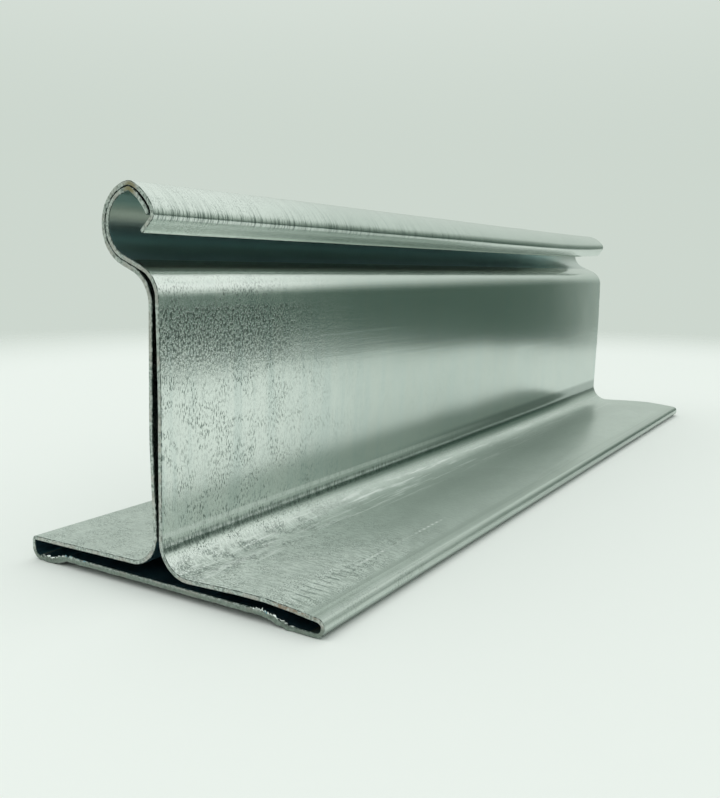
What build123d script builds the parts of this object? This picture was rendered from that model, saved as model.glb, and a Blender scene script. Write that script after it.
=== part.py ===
from build123d import *
from math import cos, radians, sin
import os

os.makedirs("parts", exist_ok=True)

# Frame: millimetres. The bar runs along Y with its middle at Y = 0, its feet rest
# on Z = 0, its flange is centred on X = 0 and the open side of its curl faces +X.
# The section is drawn first with X measured from the middle of the web.

# Strip and bar
bar_length = 200.0
sheet = 0.65
layer_gap = 0.08

# Base, jogged up between the two feet
base_lift = 0.87
jog_radius = 1.0

# Left flange, falling a little to an edge folded nearly square
left_reach = 26.65
left_flange_top = 3.97
left_edge_drop = 0.35
left_edge_low_radius = 1.6
left_edge_top_radius = 0.42
left_foot_width = 5.05
left_jog_run = 2.7

# Right flange, crowned a little and falling to a round edge
right_reach = 27.65
right_flange_top = 3.6
right_root_drop = 0.65
right_edge_drop = 1.0
right_fall_width = 9.15
right_crown_radius = 60.0
right_edge_low_share = 0.55
right_edge_top_share = 1.0
right_foot_width = 5.65
right_jog_run = 4.0

# Web of two skins that bow apart between the flange and the neck
left_root_radius = 4.64
right_root_radius = 4.74
left_bow = 0.95
left_bow_height_share = 0.42
right_bow = 0.85
right_bow_height_share = 0.55
bow_radius = 150.0
left_neck_reach = 0.41
right_neck_reach = 0.71
left_neck_radius = 5.0
right_neck_radius = 4.2

# Curl of two layers over the web, with turns and slopes in degrees
curl_height = 50.31
curl_offset = 3.5
curl_inner_radius = 4.36
neck_slope = 23.0
crown_slope = 8.6
crown_radius = 1.6
crown_turn = 31.9
inner_crown_lead = 8.0
side_top_radius = 7.2
side_top_turn = 36.2
side_low_radius = 2.0
side_low_turn = 28.1
mouth_radius = 0.9
mouth_turn = 48.1
lip_length = 2.45

half_sheet = sheet / 2
layer_step = sheet + layer_gap
web_half_step = layer_step / 2
base_level = base_lift + half_sheet
curl_centre = Vector(-curl_offset, curl_height)
inner_layer_radius = curl_inner_radius + half_sheet
outer_layer_radius = inner_layer_radius + layer_step
neck_heading = 180 - neck_slope
back_turn = neck_heading - crown_slope


def direction(heading):
    """Unit vector along a heading."""
    return Vector(1, 0).rotate(Axis.Z, heading)


def neck_points(layer_radius, web_reach):
    """Where a layer leaves the line of the web, and where it meets its curl circle."""
    meets_curl = curl_centre + direction(neck_heading + 90) * layer_radius
    neck_run = (meets_curl.X - web_reach) / cos(radians(neck_heading))
    leaves_web = meets_curl - direction(neck_heading) * neck_run
    return leaves_web, meets_curl


def bend(before, radius, turn):
    """Arc that goes on from the end of a curve and turns right by some degrees."""
    return JernArc(before @ 1, before % 1, radius, -turn)


# Left run of the strip: from the middle of the base out, over the left flange,
# up the left skin of the web and round the outside of the curl to its lip.
left_edge = half_sheet - left_reach
left_jog_foot = left_foot_width - left_reach
left_corners = [
    (0, base_level),
    (left_jog_foot + left_jog_run, base_level),
    (left_jog_foot, half_sheet),
    (left_edge, half_sheet),
    (left_edge, left_flange_top - left_edge_drop - half_sheet),
    (-web_half_step, left_flange_top - half_sheet),
    (-left_bow, left_bow_height_share * curl_height),
    *neck_points(outer_layer_radius, -left_neck_reach),
]
left_radii = [
    jog_radius,
    jog_radius,
    left_edge_low_radius,
    left_edge_top_radius,
    left_root_radius,
    bow_radius,
    left_neck_radius,
]
left_run = FilletPolyline(*left_corners, radius=left_radii)
outer_back = bend(left_run, outer_layer_radius, back_turn)
outer_crown = bend(outer_back, crown_radius, crown_turn)
outer_side_top = bend(outer_crown, side_top_radius, side_top_turn)
outer_side = bend(outer_side_top, side_low_radius, side_low_turn)
mouth = bend(outer_side, mouth_radius, mouth_turn)
lip = Line(mouth @ 1, (mouth @ 1) + (mouth % 1) * lip_length)

# Right run of the strip: from the middle of the base out, round the right edge,
# up the right skin of the web and round the inside of the curl to its mouth.
right_edge = right_reach - half_sheet
right_flange_level = right_flange_top - half_sheet
right_edge_level = right_flange_level - right_edge_drop
right_edge_height = right_edge_level - half_sheet
right_edge_low_radius = right_edge_low_share * right_edge_height
right_edge_top_radius = right_edge_top_share * (right_edge_height - right_edge_low_radius)
right_jog_foot = right_reach - right_foot_width
right_corners = [
    (0, base_level),
    (right_jog_foot - right_jog_run, base_level),
    (right_jog_foot, half_sheet),
    (right_edge, half_sheet),
    (right_edge, right_edge_level),
    (right_reach - right_fall_width, right_flange_level),
    (web_half_step, right_flange_level - right_root_drop),
    (right_bow, right_bow_height_share * curl_height),
    *neck_points(inner_layer_radius, right_neck_reach),
]
right_radii = [
    jog_radius,
    jog_radius,
    right_edge_low_radius,
    right_edge_top_radius,
    right_crown_radius,
    right_root_radius,
    bow_radius,
    right_neck_radius,
]
right_run = FilletPolyline(*right_corners, radius=right_radii)
inner_back = bend(right_run, inner_layer_radius, back_turn)
inner_crown = bend(inner_back, crown_radius - layer_step, crown_turn + inner_crown_lead)

# The inner layer's edge lies under the end of the outer side, one layer gap from
# the face of the lip.
edge_to_lip = half_sheet + layer_gap - (mouth_radius - half_sheet)
edge_past_bend = (layer_step - mouth_radius) * cos(radians(mouth_turn))
edge_back = (edge_to_lip - edge_past_bend) / sin(radians(mouth_turn))
side_heading = outer_side % 1
inner_edge = (
    (outer_side @ 1)
    + side_heading.rotate(Axis.Z, -90) * layer_step
    - side_heading * edge_back
)
inner_side = TangentArc(inner_crown @ 1, inner_edge, tangent=inner_crown % 1)

# The strip keeps one thickness all the way along its path.
runs = [
    left_run, outer_back, outer_crown, outer_side_top, outer_side, mouth, lip,
    right_run, inner_back, inner_crown, inner_side,
]
strip_path = Wire([edge for run in runs for edge in run.edges()])
section = Face(strip_path.offset_2d(half_sheet, side=Side.BOTH))

web_place = (left_reach - right_reach) / 2
section_plane = Plane(
    origin=(web_place, bar_length / 2, 0), x_dir=(1, 0, 0), z_dir=(0, -1, 0)
)
t_bar = extrude(section_plane * section, amount=bar_length)
t_bar.label = "t_bar"

export_step(t_bar, "parts/t_bar.step")
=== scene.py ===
from math import atan2, cos, pi, radians, sin, tan
from types import SimpleNamespace

import bmesh
import bpy
from mathutils import Matrix, Vector


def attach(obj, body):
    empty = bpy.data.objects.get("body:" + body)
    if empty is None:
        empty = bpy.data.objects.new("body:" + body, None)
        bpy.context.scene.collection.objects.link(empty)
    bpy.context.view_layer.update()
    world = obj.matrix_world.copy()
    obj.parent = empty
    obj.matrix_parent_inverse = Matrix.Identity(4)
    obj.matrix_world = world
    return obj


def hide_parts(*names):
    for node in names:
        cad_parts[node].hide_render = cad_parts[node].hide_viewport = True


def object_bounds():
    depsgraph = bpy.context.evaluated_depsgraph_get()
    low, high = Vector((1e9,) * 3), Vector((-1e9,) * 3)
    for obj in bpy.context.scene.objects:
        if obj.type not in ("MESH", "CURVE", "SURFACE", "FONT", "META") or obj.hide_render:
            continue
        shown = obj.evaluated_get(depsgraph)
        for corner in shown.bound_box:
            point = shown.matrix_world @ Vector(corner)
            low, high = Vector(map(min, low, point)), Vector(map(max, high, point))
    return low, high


# The bar is one roll-formed strip. Its look is modelled here as a rolling mill makes
# it: a flat slab for the base, whose two long edges are pushed out and folded round.
# Sizes are in millimetres and degrees, and MM turns them into the scene's metres.
MM = 0.001

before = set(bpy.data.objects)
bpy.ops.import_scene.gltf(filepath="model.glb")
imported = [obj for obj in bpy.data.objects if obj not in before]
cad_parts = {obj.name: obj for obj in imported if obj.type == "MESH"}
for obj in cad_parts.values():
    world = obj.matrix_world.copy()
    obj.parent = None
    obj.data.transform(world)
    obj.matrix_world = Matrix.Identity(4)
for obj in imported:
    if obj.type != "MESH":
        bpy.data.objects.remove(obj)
cad_low, cad_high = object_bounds()

# Strip and bar
BAR_LENGTH = (cad_high.y - cad_low.y) / MM
SHEET = 0.65
LAYER_GAP = 0.08
HALF_SHEET = SHEET / 2
LAYER_STEP = SHEET + LAYER_GAP

# Base, jogged up between the two feet
BASE_LIFT = 0.87
BASE_LEVEL = BASE_LIFT + HALF_SHEET
JOG_RADIUS = 1.0
SLAB_HALF_WIDTH = 3.0

# Left flange
LEFT_REACH = 26.65
LEFT_FLANGE_TOP = 3.97
LEFT_EDGE_DROP = 0.35
LEFT_EDGE_LOW_RADIUS = 1.6
LEFT_EDGE_TOP_RADIUS = 0.42
LEFT_FOOT_WIDTH = 5.05
LEFT_JOG_RUN = 2.7

# Right flange
RIGHT_REACH = 27.65
RIGHT_FLANGE_TOP = 3.6
RIGHT_ROOT_DROP = 0.65
RIGHT_EDGE_DROP = 1.0
RIGHT_FALL_WIDTH = 9.15
RIGHT_CROWN_RADIUS = 60.0
RIGHT_EDGE_LOW_SHARE = 0.55
RIGHT_EDGE_TOP_SHARE = 1.0
RIGHT_FOOT_WIDTH = 5.65
RIGHT_JOG_RUN = 4.0

# Web skins
LEFT_ROOT_RADIUS = 4.64
RIGHT_ROOT_RADIUS = 4.74
LEFT_BOW = 0.95
LEFT_BOW_HEIGHT_SHARE = 0.42
RIGHT_BOW = 0.85
RIGHT_BOW_HEIGHT_SHARE = 0.55
BOW_RADIUS = 150.0
LEFT_NECK_REACH = 0.41
RIGHT_NECK_REACH = 0.71
LEFT_NECK_RADIUS = 5.0
RIGHT_NECK_RADIUS = 4.2

# Curl
CURL_HEIGHT = 50.31
CURL_OFFSET = 3.5
INNER_LAYER_RADIUS = 4.36 + HALF_SHEET
OUTER_LAYER_RADIUS = INNER_LAYER_RADIUS + LAYER_STEP
NECK_HEADING = 180 - 23.0
BACK_TURN = NECK_HEADING - 8.6
CROWN_RADIUS = 1.6
CROWN_TURN = 31.9
INNER_CROWN_LEAD = 8.0
SIDE_TOP_RADIUS = 7.2
SIDE_TOP_TURN = 36.2
SIDE_LOW_RADIUS = 2.0
SIDE_LOW_TURN = 28.1
MOUTH_RADIUS = 0.9
MOUTH_TURN = 48.1
LIP_LENGTH = 2.45
CURL_CENTRE = Vector((-CURL_OFFSET, CURL_HEIGHT))

# How many of the left run's last moves come after the back of the curl, and after its side
MOVES_FROM_CROWN = 5
MOVES_FROM_MOUTH = 2

# The middle of the web along X, when the flange is centred on X = 0
WEB_PLACE = (LEFT_REACH - RIGHT_REACH) / 2

# How finely the strip is divided along its path and along the bar
FACET_TURN = 6.0
FACET_LENGTH = 0.8
RING_PITCH = 3.4
END_RING_DEPTHS = (0.12, 0.35, 0.8, 1.6)
CUT_LAYERS = 3
EDGE_ROUND_STEPS = 3
SMOOTH_ANGLE = 40

# How near counts as the same place, and how much of a direction counts as facing a way
SAME_PLACE = 0.01
MERGE_DISTANCE = 0.001
MOSTLY = 0.9
PARTLY = 0.3
SLIGHTLY = 0.2

# Broken edges and raggedness of the two cuts
EDGE_ROUND = 0.2
CUT_BEVEL = 0.08
CUT_RAGGED = 0.07

# The two torn places of the near cut: their ends along X, their top, and how far off
# a point of the cut may be there
TORN_RIGHT = (14.5, 23.0, 1.75, 0.45)
TORN_LEFT = (-25.5, -15.0, 1.6, 0.3)
TORN_MARGIN = 1
TEAR_GRAINS = (0.45, 0.37, 0.31)

# The thin lip that the saw left standing on the base, higher and toothed where torn
BURR_HEIGHT = 0.34
BURR_LEAN = 0.3
BURR_RAGGED = 0.8
BURR_TEETH = 3
BASE_LIP_HEIGHT = 0.26
BASE_LIP_RAGGED = 0.15

# The hollow of the foot, whose faces get painted shade
HOLLOW_SIDE = 25.3
HOLLOW_BASE = BASE_LIFT + 1.5 * SHEET
HOLLOW_ROOF = 1.3
HOLLOW_TOP = 8.5

# The last of the rolling: the curl opens from a place along the bar on, and the sheet waves
FLARE_FROM = 55.0
FLARE_TURN = 13.0
WAVE_SIZE = 24.0
WAVE_HEIGHT = 0.12

# Slots of the strip's finishes
CUT_SLOT = 1
RIM_SLOT = 2
HOLLOW_SLOT = 3


def direction(heading):
    """Unit vector of a heading in the section, in degrees."""
    return Vector((cos(radians(heading)), sin(radians(heading))))


def left_of(vector):
    """The vector turned a quarter turn to the left in the section."""
    return Vector((-vector.y, vector.x))


def heading_of(vector):
    """Heading of a vector in the section, in degrees."""
    return atan2(vector.y, vector.x) * 180 / pi


def short_turn(turn):
    """The same turn, between -180 and 180 degrees."""
    return (turn + 180) % 360 - 180


def rounded(corners, radii):
    """Moves (straight length, bend radius, turn) along a line whose corners are rounded."""
    points = [Vector(corner) for corner in corners]
    moves = []
    used = 0
    for before, corner, after, radius in zip(points, points[1:], points[2:], radii):
        turn = short_turn(heading_of(after - corner) - heading_of(corner - before))
        trim = radius * tan(radians(abs(turn)) / 2)
        moves.append(((corner - before).length - used - trim, radius, turn))
        used = trim
    moves.append(((points[-1] - points[-2]).length - used, 0, 0))
    return moves


def neck_points(layer_radius, web_reach):
    """Where a layer leaves the line of the web, and where it meets its curl circle."""
    meets_curl = CURL_CENTRE + direction(NECK_HEADING + 90) * layer_radius
    neck_run = (meets_curl.x - web_reach) / cos(radians(NECK_HEADING))
    return meets_curl - direction(NECK_HEADING) * neck_run, meets_curl


def to_centre(heading, radius, turn):
    """The way from a point of a bend to the bend's centre."""
    return left_of(direction(heading)) * (radius if turn > 0 else -radius)


def after_moves(place, heading, moves):
    """Place and heading at the end of a row of moves."""
    for length, radius, turn in moves:
        place = place + direction(heading) * length
        if turn:
            centre = place + to_centre(heading, radius, turn)
            heading += turn
            place = centre - to_centre(heading, radius, turn)
    return place, heading


def left_moves():
    """The strip's way from the slab's left edge, up the left skin, to the lip."""
    edge = HALF_SHEET - LEFT_REACH
    jog_foot = LEFT_FOOT_WIDTH - LEFT_REACH
    corners = [
        (-SLAB_HALF_WIDTH, BASE_LEVEL),
        (jog_foot + LEFT_JOG_RUN, BASE_LEVEL),
        (jog_foot, HALF_SHEET),
        (edge, HALF_SHEET),
        (edge, LEFT_FLANGE_TOP - LEFT_EDGE_DROP - HALF_SHEET),
        (-LAYER_STEP / 2, LEFT_FLANGE_TOP - HALF_SHEET),
        (-LEFT_BOW, LEFT_BOW_HEIGHT_SHARE * CURL_HEIGHT),
        *neck_points(OUTER_LAYER_RADIUS, -LEFT_NECK_REACH),
    ]
    radii = [
        JOG_RADIUS, JOG_RADIUS, LEFT_EDGE_LOW_RADIUS, LEFT_EDGE_TOP_RADIUS,
        LEFT_ROOT_RADIUS, BOW_RADIUS, LEFT_NECK_RADIUS,
    ]
    return rounded(corners, radii) + [
        (0, OUTER_LAYER_RADIUS, -BACK_TURN),
        (0, CROWN_RADIUS, -CROWN_TURN),
        (0, SIDE_TOP_RADIUS, -SIDE_TOP_TURN),
        (0, SIDE_LOW_RADIUS, -SIDE_LOW_TURN),
        (0, MOUTH_RADIUS, -MOUTH_TURN),
        (LIP_LENGTH, 0, 0),
    ]


def right_moves():
    """The strip's way from the slab's right edge, up the right skin, to the inner edge."""
    edge = RIGHT_REACH - HALF_SHEET
    flange_level = RIGHT_FLANGE_TOP - HALF_SHEET
    edge_level = flange_level - RIGHT_EDGE_DROP
    edge_height = edge_level - HALF_SHEET
    edge_low_radius = RIGHT_EDGE_LOW_SHARE * edge_height
    jog_foot = RIGHT_REACH - RIGHT_FOOT_WIDTH
    corners = [
        (SLAB_HALF_WIDTH, BASE_LEVEL),
        (jog_foot - RIGHT_JOG_RUN, BASE_LEVEL),
        (jog_foot, HALF_SHEET),
        (edge, HALF_SHEET),
        (edge, edge_level),
        (RIGHT_REACH - RIGHT_FALL_WIDTH, flange_level),
        (LAYER_STEP / 2, flange_level - RIGHT_ROOT_DROP),
        (RIGHT_BOW, RIGHT_BOW_HEIGHT_SHARE * CURL_HEIGHT),
        *neck_points(INNER_LAYER_RADIUS, RIGHT_NECK_REACH),
    ]
    radii = [
        JOG_RADIUS, JOG_RADIUS, edge_low_radius,
        RIGHT_EDGE_TOP_SHARE * (edge_height - edge_low_radius),
        RIGHT_CROWN_RADIUS, RIGHT_ROOT_RADIUS, BOW_RADIUS, RIGHT_NECK_RADIUS,
    ]
    moves = rounded(corners, radii) + [
        (0, INNER_LAYER_RADIUS, -BACK_TURN),
        (0, CROWN_RADIUS - LAYER_STEP, -CROWN_TURN - INNER_CROWN_LEAD),
    ]
    return moves + [inner_side(moves)]


def inner_side(moves):
    """The last bend of the inner layer, which ends one layer gap from the lip."""
    place, heading = after_moves(Vector((SLAB_HALF_WIDTH, BASE_LEVEL)), 0, moves)
    slab_edge = Vector((-SLAB_HALF_WIDTH, BASE_LEVEL))
    to_mouth = left_moves()[:-MOVES_FROM_MOUTH]
    side_end, side_heading = after_moves(slab_edge, 180, to_mouth)
    edge_to_lip = HALF_SHEET + LAYER_GAP - (MOUTH_RADIUS - HALF_SHEET)
    edge_past_bend = (LAYER_STEP - MOUTH_RADIUS) * cos(radians(MOUTH_TURN))
    edge_back = (edge_to_lip - edge_past_bend) / sin(radians(MOUTH_TURN))
    along = direction(side_heading)
    edge = side_end - left_of(along) * LAYER_STEP - along * edge_back
    chord = edge - place
    lean = short_turn(heading_of(chord) - heading)
    return 0, chord.length / (2 * sin(radians(abs(lean)))), 2 * lean


def in_scene(place, y=0.0):
    """A place in the section, in metres in the bar's frame."""
    return Vector(((place.x + WEB_PLACE) * MM, y * MM, place.y * MM))


def select(piece, kind, wanted):
    """Selects in edit mode the vertices, edges or faces for which wanted(part) is true."""
    bpy.ops.mesh.select_mode(type=kind)
    bpy.ops.mesh.select_all(action="DESELECT")
    mesh = bmesh.from_edit_mesh(piece.data)
    parts = {"VERT": mesh.verts, "EDGE": mesh.edges, "FACE": mesh.faces}[kind]
    for part in parts:
        if wanted(part):
            part.select_set(True)
    bmesh.update_edit_mesh(piece.data)


def push_out(place, heading, moves):
    """Pushes the selected edge of the slab along straight lengths and folds it round bends."""
    for length, radius, turn in moves:
        pushes = max(1, round(length / FACET_LENGTH)) if length > 0 else 0
        for _ in range(pushes):
            step = direction(heading) * (length / pushes)
            place = place + step
            bpy.ops.mesh.extrude_region_move(
                TRANSFORM_OT_translate={"value": (step.x * MM, 0, step.y * MM)}
            )
        if turn:
            centre = place + to_centre(heading, radius, turn)
            bpy.ops.mesh.spin(
                steps=max(2, round(abs(turn) / FACET_TURN)),
                angle=radians(abs(turn)),
                center=in_scene(centre),
                axis=(0, 1 if turn > 0 else -1, 0),
                use_auto_merge=False,
                use_normal_flip=False,
            )
            heading += turn
            place = centre - to_centre(heading, radius, turn)


def ring_places():
    """Places along the bar where the strip is divided, closer together at its ends."""
    half = BAR_LENGTH / 2
    inner = half - END_RING_DEPTHS[-1]
    rings = round(2 * inner / RING_PITCH)
    places = [-inner + 2 * inner * ring / rings for ring in range(rings + 1)]
    for depth in END_RING_DEPTHS[:-1]:
        places += [depth - half, half - depth]
    return places


def round_free_edge(strip):
    """Rounds the two long edges of the strip's free edge, which the last push left selected."""
    bpy.ops.mesh.region_to_loop()
    mesh = bmesh.from_edit_mesh(strip.data)
    for edge in mesh.edges:
        way = edge.verts[1].co - edge.verts[0].co
        if edge.select and abs(way.y) < MOSTLY * way.length:
            edge.select_set(False)
    bmesh.update_edit_mesh(strip.data)
    bpy.ops.mesh.bevel(
        offset=EDGE_ROUND * MM, segments=EDGE_ROUND_STEPS, affect="EDGES", clamp_overlap=False
    )


def is_cut(face):
    """Whether a face lies in one of the two sawn ends."""
    return abs(face.normal.y) > MOSTLY


def fold_strip():
    """Models the bar: a slab for the base, whose two edges are folded into the section."""
    bpy.ops.object.select_all(action="DESELECT")
    slab = Vector((2 * SLAB_HALF_WIDTH, BAR_LENGTH, SHEET)) * MM
    bpy.ops.mesh.primitive_cube_add(
        size=1, location=in_scene(Vector((0, BASE_LEVEL))), scale=slab
    )
    strip = bpy.context.object
    strip.name = "folded_strip"
    bpy.ops.object.transform_apply(location=True, rotation=False, scale=True)
    bpy.ops.object.mode_set(mode="EDIT")
    bpy.ops.mesh.select_mode(type="FACE")
    for y in ring_places():
        bpy.ops.mesh.select_all(action="SELECT")
        bpy.ops.mesh.bisect(plane_co=(0, y * MM, 0), plane_no=(0, 1, 0))
    for layer in range(1, CUT_LAYERS):
        level = BASE_LIFT + SHEET * layer / CUT_LAYERS
        bpy.ops.mesh.select_all(action="SELECT")
        bpy.ops.mesh.bisect(plane_co=(0, 0, level * MM), plane_no=(0, 0, 1))
    for side, heading, moves in ((-1, 180, left_moves()), (1, 0, right_moves())):
        edge = in_scene(Vector((side * SLAB_HALF_WIDTH, BASE_LEVEL)))
        select(
            strip,
            "FACE",
            lambda face: face.normal.x * side > MOSTLY
            and abs(face.calc_center_median().x - edge.x) < SAME_PLACE * MM,
        )
        push_out(Vector((side * SLAB_HALF_WIDTH, BASE_LEVEL)), heading, moves)
        round_free_edge(strip)
    bpy.ops.mesh.select_mode(type="FACE")
    bpy.ops.mesh.select_all(action="SELECT")
    bpy.ops.mesh.remove_doubles(threshold=MERGE_DISTANCE * MM)
    bpy.ops.mesh.normals_make_consistent(inside=False)
    return strip


def faces_foot_hollow(face):
    """Whether a face looks into the hollow between the base and the two flanges."""
    place = face.calc_center_median() / MM
    way = face.normal
    if abs(place.x) > HOLLOW_SIDE:
        return way.x * place.x < -PARTLY * abs(place.x)
    looks_up = way.z > PARTLY and place.z < HOLLOW_BASE
    looks_down = way.z < -SLIGHTLY and place.z > HOLLOW_ROOF
    return looks_up or looks_down


def ease_cut_edges(strip):
    """Breaks the sharp edges of the two sawn ends, and gives cut and rim their finishes."""
    select(
        strip,
        "EDGE",
        lambda edge: len(edge.link_faces) == 2
        and sum(is_cut(face) for face in edge.link_faces) == 1,
    )
    bpy.ops.mesh.bevel(offset=CUT_BEVEL * MM, segments=1, affect="EDGES", clamp_overlap=False)
    mesh = bmesh.from_edit_mesh(strip.data)
    end = (BAR_LENGTH / 2 - CUT_BEVEL) * MM
    for face in mesh.faces:
        if is_cut(face):
            face.material_index = CUT_SLOT
        elif abs(face.calc_center_median().y) > end:
            face.material_index = RIM_SLOT
        elif face.calc_center_median().z < HOLLOW_TOP * MM and faces_foot_hollow(face):
            face.material_index = HOLLOW_SLOT
    bmesh.update_edit_mesh(strip.data)


def flare_far_end(strip):
    """Opens the curl a little toward the far end, as the last stand of rolls left it."""
    slab_edge = Vector((-SLAB_HALF_WIDTH, BASE_LEVEL))
    crown, _ = after_moves(slab_edge, 180, left_moves()[:-MOVES_FROM_CROWN])
    hinge = in_scene(crown)
    mouth_level = (CURL_HEIGHT - OUTER_LAYER_RADIUS / 2) * MM
    mesh = bmesh.from_edit_mesh(strip.data)
    rings = {round(vertex.co.y / MM, 2) for vertex in mesh.verts}
    for ring in sorted(ring for ring in rings if ring > FLARE_FROM):
        share = (ring - FLARE_FROM) / (BAR_LENGTH / 2 - FLARE_FROM)
        select(
            strip,
            "VERT",
            lambda vertex: vertex.co.x > hinge.x
            and vertex.co.z > mouth_level
            and abs(vertex.co.y - ring * MM) < SAME_PLACE * MM,
        )
        bpy.ops.transform.rotate(
            value=radians(FLARE_TURN) * share * share,
            orient_axis="Y",
            center_override=hinge,
        )


def raise_burr(strip):
    """Leaves a thin lip along the base's upper edge at the near cut, higher at the two jogs."""
    end = (CUT_BEVEL - BAR_LENGTH / 2) * MM
    base_from = TORN_LEFT[1] - TORN_MARGIN
    base_to = TORN_RIGHT[0] + TORN_MARGIN
    places = [(base_from, base_to, BASE_LEVEL + SHEET, 0, BASE_LIP_HEIGHT)]
    for low_x, high_x, top, _ in (TORN_RIGHT, TORN_LEFT):
        places.append((low_x + TORN_MARGIN, high_x - TORN_MARGIN, top, BURR_TEETH, BURR_HEIGHT))
    for low_x, high_x, top, teeth, height in places:
        select(
            strip,
            "FACE",
            lambda face: face.material_index == RIM_SLOT
            and face.calc_center_median().y < end
            and low_x * MM < face.calc_center_median().x < high_x * MM
            and face.calc_center_median().z < top * MM
            and face.normal.z > SLIGHTLY,
        )
        if teeth:
            bpy.ops.mesh.subdivide(number_cuts=teeth)
        bpy.ops.mesh.extrude_region_move(
            TRANSFORM_OT_translate={"value": (0, -BURR_LEAN * height * MM, height * MM)}
        )


def raggedness(place):
    """How far, in millimetres, a point of the bar may be off its clean place at a cut."""
    half = BAR_LENGTH / 2
    if abs(place.y) < half - 2 * CUT_BEVEL:
        return 0
    on_burr = place.y < -half - SAME_PLACE
    for low_x, high_x, top, torn in (TORN_RIGHT, TORN_LEFT):
        if place.y < 0 and low_x < place.x < high_x and place.z < top + BURR_HEIGHT:
            return BURR_RAGGED if on_burr else torn
    return BASE_LIP_RAGGED if on_burr else CUT_RAGGED


def shake(strip, name, share_of, ways, grains, strength):
    """Moves the strip's points by noise along each way, by the share that each point has."""
    group = strip.vertex_groups.new(name=name)
    for vertex in strip.data.vertices:
        group.add([vertex.index], share_of(vertex.co / MM), "REPLACE")
    for way, grain in zip(ways, grains):
        noise = bpy.data.textures.new(name + "_" + way, "CLOUDS")
        noise.noise_scale = grain * MM
        shift = strip.modifiers.new(name + "_" + way, "DISPLACE")
        shift.texture = noise
        shift.direction = way
        shift.strength = strength * MM
        shift.vertex_group = name
        bpy.ops.object.modifier_apply(modifier=name + "_" + way)


def rag_cuts(strip):
    """Makes the sawn ends a little ragged, and the near end torn along its two jogs."""
    shake(
        strip,
        "cut_ends",
        lambda place: raggedness(place) / BURR_RAGGED,
        "XYZ",
        TEAR_GRAINS,
        BURR_RAGGED,
    )


def roll_waves(strip):
    """Leaves the faint waves that rolling gives a thin sheet, everywhere but at its feet."""
    base_top = BASE_LIFT + SHEET
    flange_underside = RIGHT_FLANGE_TOP - SHEET

    def rise(place):
        return min(1, max(0, (place.z - base_top) / (flange_underside - base_top)))

    shake(strip, "above_feet", rise, "XZ", (WAVE_SIZE, WAVE_SIZE), WAVE_HEIGHT)


# Which of the Mix node's sockets are its two colours and its result
MIX_FIRST = 6
MIX_SECOND = 7
MIX_RESULT = 2


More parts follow.
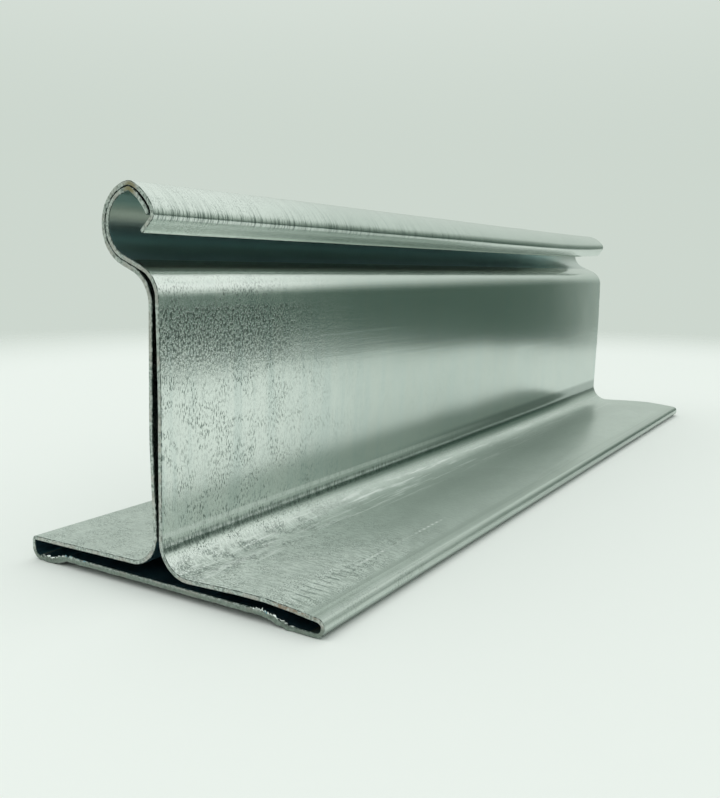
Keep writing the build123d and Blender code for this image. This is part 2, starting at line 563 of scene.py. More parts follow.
class Finish:
    """A node tree being built: short ways to add nodes and join them."""

    def __init__(self, tree):
        self.tree = tree
        tree.nodes.clear()

    def add(self, kind, **settings):
        """A new node of a kind, with its settings."""
        node = self.tree.nodes.new("ShaderNode" + kind)
        for name, value in settings.items():
            setattr(node, name, value)
        return node

    def join(self, source, target):
        """Joins a socket to another, or sets a plain number, place or colour on it."""
        if isinstance(source, (int, float)):
            target.default_value = source
        elif isinstance(source, tuple):
            target.default_value = (*source, 1) if len(target.default_value) == 4 else source
        else:
            self.tree.links.new(source, target)

    def place(self):
        """X, Y and Z of a point of the piece, as three sockets in metres."""
        parts = self.add("SeparateXYZ")
        self.join(self.add("TexCoord").outputs["Object"], parts.inputs[0])
        return parts.outputs

    def noise(self, counts, detail, roughness=0.5, shift=0.0):
        """Noise over the piece. counts are its grains to the millimetre along X, Y and Z."""
        scale = self.add("Mapping")
        self.join(self.add("TexCoord").outputs["Object"], scale.inputs["Vector"])
        self.join(tuple(count / MM for count in counts), scale.inputs["Scale"])
        self.join((shift, shift, shift), scale.inputs["Location"])
        noise = self.add("TexNoise")
        self.join(scale.outputs["Vector"], noise.inputs["Vector"])
        self.join(1.0, noise.inputs["Scale"])
        self.join(detail, noise.inputs["Detail"])
        self.join(roughness, noise.inputs["Roughness"])
        return noise.outputs["Fac"]

    def remap(self, value, low, high, to_low=0.0, to_high=1.0):
        """A value taken from one range to another, with soft ends."""
        ramp = self.add("MapRange", interpolation_type="SMOOTHSTEP")
        for number, socket in zip((value, low, high, to_low, to_high), ramp.inputs):
            self.join(number, socket)
        return ramp.outputs["Result"]

    def pattern(self, counts, detail, roughness, shift, low, high, least=0.0):
        """Noise that shows where it rises from one value to another."""
        return self.remap(self.noise(counts, detail, roughness, shift), low, high, least)

    def from_share(self, share, at_none, at_all):
        """A number that goes from one value to another as a share goes from 0 to 1."""
        return self.remap(share, 0.0, 1.0, at_none, at_all)

    def rise(self, place, start, stop, low=0.0, high=1.0):
        """A share that rises between two places in millimetres."""
        return self.remap(place, start * MM, stop * MM, low, high)

    def fall(self, place, start, stop, high=1.0, low=0.0):
        """A share that falls between two places in millimetres."""
        return self.remap(place, start * MM, stop * MM, high, low)

    def span(self, place, low, high, soft):
        """1 between two places in millimetres, with soft ends."""
        return self.product(self.rise(place, low - soft, low), self.fall(place, high, high + soft))

    def combine(self, operation, first, second):
        """The sum, product or another combination of two values."""
        node = self.add("Math", operation=operation)
        self.join(first, node.inputs[0])
        self.join(second, node.inputs[1])
        return node.outputs["Value"]

    def sine(self, place, pitch, sway):
        """Waves of a pitch in millimetres along a place, shifted by a sway."""
        turn = self.total(self.product(place, 2 * pi / (pitch * MM)), sway)
        return self.combine("SINE", turn, 0.0)

    def product(self, first, *others):
        """The product of some values."""
        for other in others:
            first = self.combine("MULTIPLY", first, other)
        return first

    def total(self, first, *others):
        """The sum of some values."""
        for other in others:
            first = self.combine("ADD", first, other)
        return first

    def most(self, first, second):
        """The larger of two values."""
        return self.combine("MAXIMUM", first, second)

    def blend(self, share, first, second):
        """A colour between two, by a share."""
        mix = self.add("Mix", data_type="RGBA")
        self.join(share, mix.inputs["Factor"])
        self.join(first, mix.inputs[MIX_FIRST])
        self.join(second, mix.inputs[MIX_SECOND])
        return mix.outputs[MIX_RESULT]

    def distance(self, place, x, z):
        """Distance from a line along the bar at a place in the section."""
        point = self.add("CombineXYZ")
        self.join(place["X"], point.inputs[0])
        self.join(place["Z"], point.inputs[2])
        gap = self.add("VectorMath", operation="DISTANCE")
        self.join(point.outputs[0], gap.inputs[0])
        self.join((x * MM, 0.0, z * MM), gap.inputs[1])
        return gap.outputs["Value"]


def metal(name):
    """A bare metal material, its builder and its shader."""
    material = bpy.data.materials.new(name)
    material.use_nodes = True
    make = Finish(material.node_tree)
    steel = make.add("BsdfPrincipled")
    steel.inputs["Metallic"].default_value = 1.0
    make.join(steel.outputs["BSDF"], make.add("OutputMaterial").inputs["Surface"])
    return material, make, steel


def relief(make, steel, height):
    """Gives a shader a relief whose height is in millimetres."""
    bump = make.add("Bump")
    bump.inputs["Distance"].default_value = MM
    make.join(height, bump.inputs["Height"])
    make.join(bump.outputs["Normal"], steel.inputs["Normal"])


# Colours of the zinc, of what lies on it, and of the painted shade, highlights and reflections on it
ZINC_DULL = (0.495, 0.565, 0.52)
# Bright zinc: a random brighter tone, and the painted light of the bar's near half
ZINC_BRIGHT_AND_LIT = (0.84, 0.89, 0.85)
# Mottled zinc, and the painted dark reflection bands along the fold
ZINC_MOTTLE_AND_SHADE = (0.42, 0.48, 0.44)
# Painted shade, over the left flange, the right flange's fold and the curl's top
ZINC_SHADED = (0.47, 0.54, 0.49)
# Rubbed zinc for scratches and rubs, and for the painted highlights and glints
ZINC_RUBBED_AND_SHEEN = (0.92, 0.95, 0.93)
SMEAR_TINT = (0.50, 0.60, 0.58)
# Pepper specks, and the painted shade at the mouth bend, at the root and on the feet
PEPPER_AND_SHADE = (0.10, 0.145, 0.125)
# Roll marks, and the painted dark reflection above the flange's root
ROLL_MARK_AND_SHADE = (0.20, 0.26, 0.23)
# Painted shade under the raised base
UNDER_SHADE = (0.03, 0.045, 0.04)
# Painted shade inside the curl: blue-green in the throat, plainer toward the far end, and darker
# higher inside
THROAT_SHADE = (0.50, 0.74, 0.80)
THROAT_SHADE_FAR = (0.50, 0.56, 0.53)
CURL_INSIDE_SHADE = (0.25, 0.30, 0.25)

# Marks of the sheet, among them painted shade, painted highlights and painted reflections, in the
# order in which they lie over each other: how strongly each covers what is under it, and its colour
SHEET_MARKS = (
    # Painted shade over the left flange
    ("left_shade", 0.7, ZINC_SHADED),
    ("smears", 0.38, SMEAR_TINT),
    ("worms", 0.4, ZINC_MOTTLE_AND_SHADE),
    ("blotches", 0.25, ZINC_MOTTLE_AND_SHADE),
    # Painted shade over the right flange's fold
    ("fold_shade", 0.5, ZINC_SHADED),
    # Painted shade over the curl's top
    ("curl_top_shade", 0.25, ZINC_SHADED),
    # Streaks along the fold: rolling streaks, made stronger as painted dark reflection bands
    ("fold_lines", 0.6, ZINC_MOTTLE_AND_SHADE),
    # Bright wisps at the flange's root: rubbing, brightened as painted highlight
    ("root_rub_and_highlight", 0.85, ZINC_RUBBED_AND_SHEEN),
    ("root_specks", 0.6, PEPPER_AND_SHADE),
    # Painted dark reflection in a soft band above the flange's root
    ("root_shade", 0.75, ROLL_MARK_AND_SHADE),
    # Painted highlight along the neck
    ("neck_sheen", 0.8, ZINC_RUBBED_AND_SHEEN),
    ("specks", 0.8, PEPPER_AND_SHADE),
    ("strokes", 0.45, ROLL_MARK_AND_SHADE),
    # Painted shade in the curl's mouth bend, broken into dashes
    ("mouth_shade_dashes", 1.0, PEPPER_AND_SHADE),
    ("chatter", 0.7, ROLL_MARK_AND_SHADE),
    # Painted glints in a dotted row beside the fold
    ("glint_row", 0.95, ZINC_RUBBED_AND_SHEEN),
    # Painted dark reflection in a band at the root, broken into dashes
    ("root_shade_dashes", 1.0, PEPPER_AND_SHADE),
    ("root_line", 1.0, ZINC_RUBBED_AND_SHEEN),
    ("scratches", 0.45, ZINC_RUBBED_AND_SHEEN),
    # Painted shade low on the feet, where they meet the floor
    ("foot_shade", 0.7, PEPPER_AND_SHADE),
    # Painted shade under the raised base
    ("underside", 0.8, UNDER_SHADE),
)

# Noises of the sheet: grains to the millimetre along X, Y and Z, detail, roughness and
# shift. Where two more values follow, the pattern fades in between them.
GRAIN = (4.6, 4.6, 3.2), 2.0, 0.6
CLOUDS = (0.05, 0.03, 0.07), 3.0
STREAKS = (1.6, 0.012, 1.6), 2.0
SWAY = (0.4, 0.15, 0.4), 2.0, 0.5, 2.0
SMEARS = (0.3, 0.32, 0.03), 3.0, 0.7, 0.0, 0.42, 0.66
WORMS = (0.6, 2.3, 0.6), 2.0, 0.6, 9.0, 0.38, 0.64
WISPS = (1.1, 0.07, 1.1), 3.0, 0.65, 6.0, 0.5, 0.68
STROKES = (0.12, 2.8, 0.16), 3.0, 0.6, 0.0, 0.45, 0.65
DASHES = (0.8, 2.8, 0.5), 3.0, 0.6, 13.0, 0.42, 0.64
FINE_SPECKS = (5.0, 5.0, 1.7), 2.0, 0.55, 5.0, 0.52, 0.62
THICK_SPECKS = (3.2, 3.2, 1.7), 2.0, 0.6, 15.0, 0.46, 0.56
CLUMPS = (0.3, 0.22, 0.3), 2.0, 0.6, 7.0, 0.4, 0.6
BLOTCHES = (0.11, 0.05, 0.11), 3.0, 0.6, 4.0, 0.42, 0.6
FOLD_LINES = (1.6, 0.012, 1.6), 2.0, 0.5, 8.0, 0.44, 0.58

# Parts of the sheet, in millimetres along X, Y or Z: the two ends of a fade, or a
# span's two ends and its softness
WEB_Z = (10, 41, 3)
FLANGE_Z = (3.6, 5.4)
RIGHT_SIDE_X = (0.0, 0.3)
LEFT_SIDE_X = (-0.9, -0.5)
LEFT_FLANGE_X = (-4, -1)
NEAR_Y = (-90, -40)
FRONT_Y = (-60, 60)
CURL_SIDE_Z = (50.4, 51.6)
CURL_SIDE_X = (-6.0, -4.4)
CURL_TOP_Z = (50.4, 52.0)
NECK_SHEEN_Z = (41.8, 44.0, 1.0)
PLAIN_NECK_Z = (41.0, 43.0)
MOUTH_Z = (51.1, 51.9, 0.7)
MOUTH_X = (-1.7, -0.9)
CURL_MIDDLE = (WEB_PLACE - CURL_OFFSET, CURL_HEIGHT)
CURL_HOLLOW_REACH = (4.5, 4.8)
CURL_HOLLOW_X = (-2.9, -2.3)
CURL_INSIDE_Z = (48.5, 51.5)
THROAT_Y = (55, 92)
FOLD_X = (23.5, 25.0)
PATCH_BOTTOM_Z = (27, 35)
PATCH_TOP_Z = (39.0, 39.8)
PATCH_Y = (-82, -56)
STROKES_Z = (51.8, 54.2)
CHATTER_X = (22.4, 23.8, 0.35)
CHATTER_Y = (-84, -68)
DOTTED_ROW_X = (20.8, 21.0, 0.2)
DOTTED_ROW_Y = (-80, -57, 5)
ROOT_LINE_Z = (8.0, 8.5, 0.25)
ROOT_LINE_Y = (-70, 30)
ROOT_DASHES_Z = (6.1, 7.1, 0.5)
ROOT_RUB_X = (2.5, 8.0, 2.0)
ROOT_SPECKS_X = (1.5, 6.5, 1.5)
ROOT_SHADE_Z = (6.6, 8.8, 1.2)
ROOT_SHADE_Y = (-60, 20)
FOOT_SHADE_Z = (0.55, 1.25)
UNDERSIDE_Z = (0.95, 1.05)
UNDERSIDE_X = (-21, 21, 1.5)
DULL_X = (20, 24)
DULL_Y = (-96, -64)
FLANGE_GLOSS_Y = (-95, 60)

# Scratches on the right skin: their two ends along Y and their height
SCRATCHES = ((-93.5, -86.5, 41.3), (-80.0, -77.4, 41.0), (-62.0, -36.0, 33.6))
SCRATCH_WIDTH = 0.08
SCRATCH_TAPER = 1.0

# What is left of a mark where it is faintest
FRONT_LEAST = 0.25
PATCH_LEAST = 0.25
CLUMPS_LEAST = 0.3
FAR_SPECKS = 0.15
LEFT_SPECKS = 0.5
BEND_SPECKS = 0.4
STROKES_LEAST = 0.35
DOTS_LEAST = 0.25

# How the parts of a mark add up
CLOUDS_SHARE = 0.4
# How much painted light brightens the bar's near half
NEAR_LIGHT_SHARE = 0.6
WORMS_EVERYWHERE = 0.6
WORM_RELIEF_EVERYWHERE = 0.4
MOUTH_DASHES = (0.1, 0.75)
ROOT_DASHES = (0.3, 0.8)
ROOT_LINE_GAPS = (0.9, 0.3)
ROOT_SPECK_CLUMPS = (0.45, 0.8)
CURL_HOLLOW_SHARE = 0.9

# Rows that the rolls' chatter left, and the dotted row of painted glints beside them: their pitch,
# how far they sway, and where they show
CHATTER_PITCH = 1.5
CHATTER_PHASE = 5.0
CHATTER_SWAY = 4
CHATTER_CREST = (0.55, 0.95)
DOT_CREST = (-0.2, 0.8)
DOT_RUN = (0.42, 0.58)
DOT_RUN_LEAST = 0.35

# Gloss of the sheet, and its relief in millimetres
GLOSS_GRAIN = (0.3, 0.7)
ROUGHNESS = (0.155, 0.205)
FLANGE_ROUGHNESS = (0.26, 0.12)
CURL_HOLLOW_ROUGHNESS = 0.14
FLANGE_DULLNESS = (0.5, 0.04)
GRAIN_RELIEF = (0.004, 0.010)
STREAK_RELIEF = (0.012, 0.003)
SPECK_RELIEF = -0.008
WORM_RELIEF = 0.009
WISP_RELIEF = 0.012
STROKE_RELIEF = -0.012
CHATTER_RELIEF = -0.02


def sheet_parts(make, place):
    """Where the parts of the bar lie, as shares from 0 to 1."""
    x, y, z = place["X"], place["Y"], place["Z"]
    part = SimpleNamespace()
    part.web = make.span(z, *WEB_Z)
    part.flange = make.fall(z, *FLANGE_Z)
    part.right = make.rise(x, *RIGHT_SIDE_X)
    part.left = make.fall(x, *LEFT_SIDE_X)
    part.left_flange = make.product(make.fall(x, *LEFT_FLANGE_X), part.flange)
    part.near = make.fall(y, *NEAR_Y)
    part.front = make.fall(y, *FRONT_Y, 1.0, FRONT_LEAST)
    part.curl_side = make.product(make.rise(z, *CURL_SIDE_Z), make.rise(x, *CURL_SIDE_X))
    part.mouth = make.product(make.span(z, *MOUTH_Z), make.rise(x, *MOUTH_X))
    part.curl_hollow = make.product(
        make.fall(make.distance(place, *CURL_MIDDLE), *CURL_HOLLOW_REACH),
        make.fall(x, *CURL_HOLLOW_X),
    )
    part.fold = make.rise(x, *FOLD_X)
    part.flat = make.product(part.flange, make.from_share(part.fold, 1.0, 0.0))
    part.bends = make.total(part.fold, make.rise(z, *PLAIN_NECK_Z))
    part.patch = make.product(
        make.rise(z, *PATCH_BOTTOM_Z),
        make.fall(z, *PATCH_TOP_Z),
        make.fall(y, *PATCH_Y, 1.0, PATCH_LEAST),
    )
    return part


def sheet_patterns(make):
    """The noises of the sheet's marks."""
    pattern = SimpleNamespace()
    pattern.grain = make.noise(*GRAIN)
    pattern.clouds = make.noise(*CLOUDS)
    pattern.streaks = make.noise(*STREAKS)
    pattern.sway = make.noise(*SWAY)
    pattern.smears = make.pattern(*SMEARS)
    pattern.worms = make.pattern(*WORMS)
    pattern.wisps = make.pattern(*WISPS)
    pattern.strokes = make.pattern(*STROKES)
    pattern.dashes = make.pattern(*DASHES)
    pattern.fine_specks = make.pattern(*FINE_SPECKS)
    pattern.thick_specks = make.pattern(*THICK_SPECKS)
    pattern.clumps = make.pattern(*CLUMPS, CLUMPS_LEAST)
    pattern.blotches = make.pattern(*BLOTCHES)
    pattern.fold_lines = make.pattern(*FOLD_LINES)
    return pattern


def root_marks(make, place, part, pattern):
    """Marks where the web turns into the right flange: a line, rubs and specks, painted highlight
    over the rubs, and painted dark reflection as a dashed band and a soft band.
    """
    x, y, z = place["X"], place["Y"], place["Z"]
    return {
        "root_line": make.product(
            make.span(z, *ROOT_LINE_Z),
            part.right,
            make.fall(y, *ROOT_LINE_Y),
            make.from_share(pattern.dashes, *ROOT_LINE_GAPS),
        ),
        # Painted dark reflection in a band at the root, broken into dashes
        "root_shade_dashes": make.product(
            make.span(z, *ROOT_DASHES_Z),
            part.right,
            part.front,
            make.from_share(pattern.dashes, *ROOT_DASHES),
        ),
        # Bright wisps at the flange's root: rubbing, brightened as painted highlight
        "root_rub_and_highlight": make.product(
            make.span(x, *ROOT_RUB_X), part.flange, pattern.wisps, part.front
        ),
        "root_specks": make.product(
            make.span(x, *ROOT_SPECKS_X),
            part.flange,
            pattern.thick_specks,
            part.near,
            make.remap(pattern.clumps, *ROOT_SPECK_CLUMPS),
        ),
        # Painted dark reflection in a soft band above the flange's root
        "root_shade": make.product(
            make.span(z, *ROOT_SHADE_Z), part.right, make.rise(y, *ROOT_SHADE_Y)
        ),
    }


def chatter_marks(make, place, part, pattern):
    """Short strokes that the rolls left beside the right flange's fold, and a dotted row of painted
    glints.
    """
    x, y = place["X"], place["Y"]
    rows = make.sine(y, CHATTER_PITCH, make.product(pattern.sway, CHATTER_PHASE))
    swayed = make.total(x, make.product(pattern.sway, CHATTER_SWAY * MM))
    return {
        "chatter": make.product(
            make.remap(rows, *CHATTER_CREST),
            make.span(swayed, *CHATTER_X),
            make.fall(y, *CHATTER_Y),
            part.flange,
        ),
        # Painted glints in a dotted row beside the fold
        "glint_row": make.product(
            make.span(x, *DOTTED_ROW_X),
            make.span(y, *DOTTED_ROW_Y),
            make.remap(rows, *DOT_CREST, DOTS_LEAST, 1.0),
            make.remap(pattern.sway, *DOT_RUN, DOT_RUN_LEAST, 1.0),
            part.flange,
        ),
    }


def curl_marks(make, place, part, pattern):
    """Strokes over the curl's side, painted shade in dashes at its mouth bend, and painted shade
    over its top.
    """
    z = place["Z"]
    return {
        # Painted shade over the curl's top
        "curl_top_shade": make.rise(z, *CURL_TOP_Z),
        "strokes": make.product(
            pattern.strokes,
            part.curl_side,
            part.front,
            make.fall(z, *STROKES_Z, 1.0, STROKES_LEAST),
        ),
        # Painted shade in the curl's mouth bend, broken into dashes
        "mouth_shade_dashes": make.product(
            part.mouth, part.front, make.from_share(pattern.strokes, *MOUTH_DASHES)
        ),
    }


def speck_marks(make, part, pattern):
    """Pepper specks: fine ones in clumps, and thick ones in a patch high on the near web."""
    fine = make.product(pattern.fine_specks, pattern.clumps)
    thick = make.product(pattern.thick_specks, part.patch)
    reach = make.most(
        make.from_share(part.near, FAR_SPECKS, 1.0), make.product(part.left, LEFT_SPECKS)
    )
    thinned = make.from_share(part.bends, 1.0, BEND_SPECKS)
    return {"specks": make.product(make.most(fine, thick), reach, thinned)}


def foot_shade_marks(make, place):
    """Painted shade low on the feet and under the raised base."""
    x, z = place["X"], place["Z"]
    return {
        # Painted shade low on the feet and under the raised base
        "foot_shade": make.fall(z, *FOOT_SHADE_Z),
        "underside": make.product(make.fall(z, *UNDERSIDE_Z), make.span(x, *UNDERSIDE_X)),
    }


def scratches(make, place, part):
    """A few fine scratches along the right skin."""
    lines = [
        make.product(
            make.span(place["Z"], level, level + SCRATCH_WIDTH, SCRATCH_WIDTH),
            make.span(place["Y"], start, stop, SCRATCH_TAPER),
        )
        for start, stop, level in SCRATCHES
    ]
    return make.product(make.total(*lines), part.right)


def galvanised_sheet():
    """Zinc-coated sheet: pepper specks, mottling, roll strokes, chatter and root marks, with painted
    shade, painted highlights and painted reflections over them.
    """
    material, make, steel = metal("galvanised_sheet")
    place = make.place()
    part = sheet_parts(make, place)
    pattern = sheet_patterns(make)
    marks = {
        # Painted shade over the left flange
        "left_shade": part.left_flange,
        "smears": make.product(pattern.smears, part.web),
        "worms": make.product(
            pattern.worms, part.flat, make.total(part.near, WORMS_EVERYWHERE)
        ),
        "blotches": make.product(pattern.blotches, part.flange),
        # Painted shade over the right flange's fold
        "fold_shade": part.fold,
        # Streaks along the fold: rolling streaks, made stronger as painted dark reflection bands
        "fold_lines": make.product(part.fold, pattern.fold_lines),
        # Painted highlight along the neck
        "neck_sheen": make.product(
            make.span(place["Z"], *NECK_SHEEN_Z), part.right, part.near
        ),
        "scratches": scratches(make, place, part),
        **speck_marks(make, part, pattern),
        **curl_marks(make, place, part, pattern),
        **chatter_marks(make, place, part, pattern),
        **root_marks(make, place, part, pattern),
        **foot_shade_marks(make, place),
    }

    # The zinc's tone goes from dull to bright by random clouds, and painted light makes the bar's
    # near half brighter
    tone_and_near_light = make.total(
        make.product(pattern.clouds, CLOUDS_SHARE), make.product(part.near, NEAR_LIGHT_SHARE)
    )
    colour = make.blend(tone_and_near_light, ZINC_DULL, ZINC_BRIGHT_AND_LIT)
    for name, share, tint in SHEET_MARKS:
        colour = make.blend(make.product(marks[name], share), colour, tint)
    # Painted shade in the curl's hollow: blue-green in the throat, plainer toward the far end, and
    # darker higher inside
    throat = make.blend(make.rise(place["Y"], *THROAT_Y), THROAT_SHADE, THROAT_SHADE_FAR)
    inside = make.blend(make.rise(place["Z"], *CURL_INSIDE_Z), throat, CURL_INSIDE_SHADE)
    colour = make.blend(make.product(part.curl_hollow, CURL_HOLLOW_SHARE), colour, inside)
    make.join(colour, steel.inputs["Base Color"])

    dull = make.product(
        part.flange, make.fall(place["X"], *DULL_X), make.fall(place["Y"], *DULL_Y, *FLANGE_DULLNESS)
    )
    make.join(make.combine("SUBTRACT", 1.0, dull), steel.inputs["Metallic"])
    roughness = make.total(
        make.remap(pattern.grain, *GLOSS_GRAIN, *ROUGHNESS),
        make.product(part.flange, make.fall(place["Y"], *FLANGE_GLOSS_Y, *FLANGE_ROUGHNESS)),
        make.product(part.curl_hollow, CURL_HOLLOW_ROUGHNESS),
    )
    make.join(roughness, steel.inputs["Roughness"])

    height = make.total(
        make.product(pattern.grain, make.from_share(part.near, *GRAIN_RELIEF)),
        make.product(marks["specks"], SPECK_RELIEF),
        make.product(pattern.streaks, make.from_share(part.web, *STREAK_RELIEF)),
        make.product(
            pattern.worms, part.flat, make.total(part.near, WORM_RELIEF_EVERYWHERE), WORM_RELIEF
        ),
        make.product(pattern.wisps, part.flange, WISP_RELIEF),
        make.product(marks["strokes"], STROKE_RELIEF),
        make.product(marks["chatter"], CHATTER_RELIEF),
    )
    relief(make, steel, height)
    return material


# The sawn ends: colours, noises, places of shade and rust, and relief
CUT_DARK = (0.22, 0.26, 0.235)
CUT_LIGHT = (0.56, 0.62, 0.58)
CUT_WARM = (0.50, 0.46, 0.42)
CUT_SHADED = (0.17, 0.215, 0.18)
RUST = (0.25, 0.22, 0.11)
RUST_EDGE = (0.30, 0.22, 0.16)
CUT_GRAIN = (2.2, 2.2, 2.2), 3.0, 0.65
CUT_GRAIN_LIGHT = (0.36, 0.6)
SAW_LINES = (5.0, 1.0, 0.6), 2.0, 0.5
WARM_PATCHES = (0.35, 0.35, 0.35), 2.0, 0.5, 4.0, 0.45, 0.6
WARM_SHARE = 0.5
BASE_CUT_Z = (1.25, 1.75)
BASE_CUT_SHADE = 0.75
CROWN_RUST_PLACE = (-4.2, 54.9)
CROWN_RUST_REACH = (0.5, 1.5)
CROWN_RUST_SHARE = 0.85
EDGE_RUST_X = (20, 25.5, 2)
EDGE_RUST_Z = (2.1, 2.9)
EDGE_RUST_FLECKS = (1.5, 1.5, 1.5), 2.0, 0.6, 3.0, 0.42, 0.56
EDGE_RUST_SHARE = 0.9
CUT_ROUGHNESS = 0.42
CUT_GRAIN_RELIEF = 0.05
SAW_LINE_RELIEF = 0.03


def raw_cut():
    """The sawn ends: bare steel with saw lines, a little rust at the crown and flange edge."""
    material, make, steel = metal("raw_cut")
    place = make.place()
    grain = make.noise(*CUT_GRAIN)
    colour = make.blend(make.remap(grain, *CUT_GRAIN_LIGHT), CUT_DARK, CUT_LIGHT)
    colour = make.blend(make.product(make.pattern(*WARM_PATCHES), WARM_SHARE), colour, CUT_WARM)
    shaded = make.fall(place["Z"], *BASE_CUT_Z, BASE_CUT_SHADE)
    colour = make.blend(shaded, colour, CUT_SHADED)
    crown_rust = make.fall(make.distance(place, *CROWN_RUST_PLACE), *CROWN_RUST_REACH)
    colour = make.blend(make.product(crown_rust, CROWN_RUST_SHARE), colour, RUST)
    edge_rust = make.product(
        make.span(place["X"], *EDGE_RUST_X),
        make.rise(place["Z"], *EDGE_RUST_Z),
        make.pattern(*EDGE_RUST_FLECKS),
    )
    colour = make.blend(make.product(edge_rust, EDGE_RUST_SHARE), colour, RUST_EDGE)
    make.join(colour, steel.inputs["Base Color"])
    steel.inputs["Roughness"].default_value = CUT_ROUGHNESS
    lines = make.product(make.noise(*SAW_LINES), SAW_LINE_RELIEF)
    relief(make, steel, make.total(make.product(grain, CUT_GRAIN_RELIEF), lines))
    return material


# The broken edges round the cuts, and where they are torn bright
RIM_DIRT = (0.05, 0.07, 0.06)
RIM_BEAD = (0.36, 0.41, 0.38)
TORN_STEEL = (0.88, 0.93, 0.90)
BEADS = (1.6, 1.6, 1.6), 2.0, 0.6
BEAD_SHOWS = (0.45, 0.62)
BEAD_TORN = (0.4, 0.5, 0.5, 1.0)
BEAD_RELIEF = 0.05
BRIGHT_RIGHT_X = (TORN_RIGHT[0] + 2, TORN_RIGHT[1] - 1, 1.0)
BRIGHT_LEFT_X = (TORN_LEFT[0] + 2, TORN_LEFT[1] - 5, 1.0)
BRIGHT_Z = (0.9, 2.0, 0.3)
BRIGHT_Y = (-99.0, -98.5)
RIM_ROUGHNESS = (0.42, 0.2)


def cut_rim():
    """The broken edges round the cuts, dark with dirt and beaded, and bright where torn."""
    material, make, steel = metal("cut_rim")
    place = make.place()
    beads = make.noise(*BEADS)
    colour = make.blend(make.remap(beads, *BEAD_SHOWS), RIM_DIRT, RIM_BEAD)
    torn = make.product(
        make.total(make.span(place["X"], *BRIGHT_RIGHT_X), make.span(place["X"], *BRIGHT_LEFT_X)),
        make.span(place["Z"], *BRIGHT_Z),
        make.fall(place["Y"], *BRIGHT_Y),
    )
    bright = make.product(torn, make.remap(beads, *BEAD_TORN))
    make.join(make.blend(bright, colour, TORN_STEEL), steel.inputs["Base Color"])
    make.join(make.from_share(torn, *RIM_ROUGHNESS), steel.inputs["Roughness"])
    relief(make, steel, make.product(beads, BEAD_RELIEF))
    return material


# Painted shade inside the foot's hollow
HOLLOW_SHADE_DARK = (0.16, 0.34, 0.42)
HOLLOW_SHADE_PALE = (0.26, 0.46, 0.52)
HOLLOW_SHADE_NOISE = (0.3, 0.1, 0.3), 3.0
HOLLOW_ROUGHNESS = (0.3, 0.7, 0.3, 0.4)
RUB_LINES = (3.0, 0.3, 3.0), 2.0
RUB_RELIEF = 0.02


def foot_hollow():
    """The sheet's face inside the foot, dull and painted dark blue-green as shade."""
    material, make, steel = metal("foot_hollow")
    shade_noise = make.noise(*HOLLOW_SHADE_NOISE)
    # Painted shade: dark blue-green over the faces inside the foot
    make.join(make.blend(shade_noise, HOLLOW_SHADE_DARK, HOLLOW_SHADE_PALE), steel.inputs["Base Color"])
    make.join(make.remap(shade_noise, *HOLLOW_ROUGHNESS), steel.inputs["Roughness"])
    relief(make, steel, make.product(make.noise(*RUB_LINES), RUB_RELIEF))
    return material


def finish_strip(strip):
    """Gives the bar its finishes and smooth bends, and puts it in the frame."""
    for material in (galvanised_sheet(), raw_cut(), cut_rim(), foot_hollow()):
        strip.data.materials.append(material)
    bpy.ops.object.shade_smooth_by_angle(angle=radians(SMOOTH_ANGLE))
    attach(strip, "root")
    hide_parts("t_bar")


# Surround, paler from one height of the view to another
BACKDROP_LOW = (0.61, 0.68, 0.62)
BACKDROP_HIGH = (0.93, 0.98, 0.94)
BACKDROP_FADE = (0.12, 0.7)

# Floor, just under the lowest point of the ragged cuts
FLOOR_COLOUR = (0.855, 0.875, 0.86)
FLOOR_LEVEL = -0.08
FLOOR_RADIUS = 620
FLOOR_SIDES = 96
FLOOR_FADE = (215, 450)
FLOOR_FADE_CENTRE = (0, 60)


def soft_world():
    """A pale surround, brighter overhead."""
    world = bpy.data.worlds.new("studio")
    bpy.context.scene.world = world
    world.use_nodes = True
    make = Finish(world.node_tree)
    way = make.add("SeparateXYZ")
    make.join(make.add("TexCoord").outputs["Generated"], way.inputs[0])
    light = make.add("Background")
    make.join(
        make.blend(make.remap(way.outputs["Z"], *BACKDROP_FADE), BACKDROP_LOW, BACKDROP_HIGH),
        light.inputs["Color"],
    )
    make.join(light.outputs[0], make.add("OutputWorld").inputs["Surface"])


def faded(name, shader, share_of):
    """A material that turns clear by a share worked out from the place."""
    material = bpy.data.materials.new(name)
    material.use_nodes = True
    make = Finish(material.node_tree)
    mix = make.add("MixShader")
    make.join(share_of(make), mix.inputs[0])
    paper = make.add(shader)
    make.join(paper.outputs[0], mix.inputs[1])
    make.join(make.add("BsdfTransparent").outputs[0], mix.inputs[2])
    make.join(mix.outputs[0], make.add("OutputMaterial").inputs["Surface"])
    return material, paper.inputs["Color"]


def pale_floor():
    """A round pale floor that fades into the surround."""
    bpy.ops.object.select_all(action="DESELECT")
    bpy.ops.mesh.primitive_circle_add(
        vertices=FLOOR_SIDES,
        radius=FLOOR_RADIUS * MM,
        fill_type="NGON",
        location=(0, 0, FLOOR_LEVEL * MM),
    )
    floor = bpy.context.object
    floor.name = "studio_floor"
    bpy.ops.object.transform_apply(location=True)

    def share_of(make):
        reach = make.add("VectorMath", operation="DISTANCE")
        make.join(make.add("TexCoord").outputs["Object"], reach.inputs[0])
        make.join((FLOOR_FADE_CENTRE[0] * MM, FLOOR_FADE_CENTRE[1] * MM, 0.0), reach.inputs[1])
        return make.rise(reach.outputs["Value"], *FLOOR_FADE)

    material, colour = faded("floor_paper", "BsdfDiffuse", share_of)
    colour.default_value = (*FLOOR_COLOUR, 1)
    floor.data.materials.append(material)


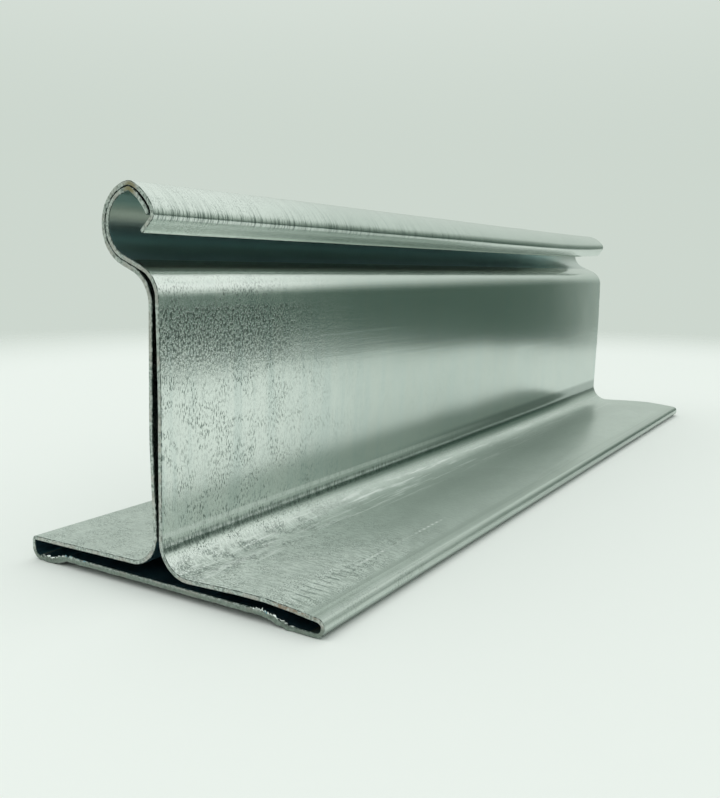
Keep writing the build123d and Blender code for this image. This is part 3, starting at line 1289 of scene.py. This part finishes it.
# Card: its radius and top, the azimuths it spans, the heights over which it clears, and
# the azimuths between which it clears lower, and by how much
CARD_COLOUR = (0.08, 0.13, 0.102)
CARD_RADIUS = 295
CARD_TOP = 270
CARD_FROM, CARD_TO = 8, 85
CARD_STEPS = 24
CARD_FADE = (30, 205)
CARD_OPENS = (32, 56)
CARD_OPENING = 32
CARD_SIDE_FADE = 8


def dark_card():
    """A curved dark card beyond the view, seen only in the metal, for depth in its gloss."""
    bpy.ops.object.select_all(action="DESELECT")
    start = direction(90 - CARD_FROM) * CARD_RADIUS
    bpy.ops.mesh.primitive_plane_add(
        size=CARD_TOP * MM,
        location=Vector((start.x, start.y + CARD_TOP / 2, CARD_TOP / 2)) * MM,
        rotation=(0, pi / 2, 0),
    )
    card = bpy.context.object
    card.name = "studio_card"
    bpy.ops.object.transform_apply(location=True, rotation=True)
    bpy.ops.object.mode_set(mode="EDIT")
    select(card, "VERT", lambda vertex: vertex.co.y > (start.y + CARD_TOP / 2) * MM)
    bpy.ops.mesh.delete(type="VERT")
    bpy.ops.mesh.select_all(action="SELECT")
    bpy.ops.mesh.spin(
        steps=CARD_STEPS, angle=radians(CARD_TO - CARD_FROM), center=(0, 0, 0), axis=(0, 0, 1)
    )
    bpy.ops.object.mode_set(mode="OBJECT")

    def share_of(make):
        place = make.place()
        azimuth = make.combine("ARCTAN2", place["X"], place["Y"])
        opens_from, opens_to = (radians(edge) for edge in CARD_OPENS)
        opening = make.remap(azimuth, opens_from, opens_to, 0.0, CARD_OPENING * MM)
        rise = make.rise(make.total(place["Z"], opening), *CARD_FADE)
        side_to = radians(CARD_FROM + CARD_SIDE_FADE)
        side = make.remap(azimuth, radians(CARD_FROM), side_to, 1.0, 0.0)
        return make.most(rise, side)

    material, colour = faded("card_felt", "Emission", share_of)
    colour.default_value = (*CARD_COLOUR, 1)
    card.data.materials.append(material)
    card.visible_camera = False
    card.visible_diffuse = False
    card.visible_shadow = False


# Lamp: its place, the length of its sides and its power in watts
LAMP_PLACE = (-100, -250, 950)
LAMP_SIZE = 1200
LAMP_POWER = 1.6


def soft_lamp():
    """One large soft lamp overhead, a little in front of the bar and to its left."""
    lamp = bpy.data.lights.new("softbox", "AREA")
    lamp.shape = "SQUARE"
    lamp.size = LAMP_SIZE * MM
    lamp.energy = LAMP_POWER
    box = bpy.data.objects.new("softbox", lamp)
    bpy.context.scene.collection.objects.link(box)
    box.location = Vector(LAMP_PLACE) * MM
    box.rotation_euler = (-box.location).to_track_quat("-Z", "Y").to_euler()
    box.visible_glossy = False


# The photograph's point of view, solved from the bar's long edges and its two cut ends.
# The focal length is in pixels of the photograph, and the sensor's width in millimetres.
CAMERA_PLACE = (82.22, -182.28, 45.09)
CAMERA_ELEVATION = 8.715
CAMERA_AZIMUTH = 31.539
CAMERA_ROLL = 0.834
CAMERA_FOCAL_PIXELS = 858.0
CAMERA_NEAREST = 5
SENSOR_WIDTH = 36
PHOTO_HEIGHT = 798


def camera():
    """The photograph's point of view."""
    elevation, azimuth = radians(CAMERA_ELEVATION), radians(CAMERA_AZIMUTH)
    roll = radians(CAMERA_ROLL)
    back = Vector((sin(azimuth) * cos(elevation), -cos(azimuth) * cos(elevation), sin(elevation)))
    level = Vector((cos(azimuth), sin(azimuth), 0))
    rise = back.cross(level)
    right = level * cos(roll) + rise * sin(roll)
    up = rise * cos(roll) - level * sin(roll)
    view = bpy.data.cameras.new("view")
    view.sensor_width = SENSOR_WIDTH
    view.lens = view.sensor_width * CAMERA_FOCAL_PIXELS / PHOTO_HEIGHT
    view.clip_start = CAMERA_NEAREST * MM
    holder = bpy.data.objects.new("view", view)
    bpy.context.scene.collection.objects.link(holder)
    holder.matrix_world = Matrix((right, up, back)).transposed().to_4x4()
    holder.location = Vector(CAMERA_PLACE) * MM
    bpy.context.scene.camera = holder


bar = fold_strip()
ease_cut_edges(bar)
flare_far_end(bar)
raise_burr(bar)
bpy.ops.object.mode_set(mode="OBJECT")
rag_cuts(bar)
roll_waves(bar)
finish_strip(bar)
soft_world()
pale_floor()
dark_card()
soft_lamp()
camera()
bpy.context.scene.view_settings.view_transform = "Standard"
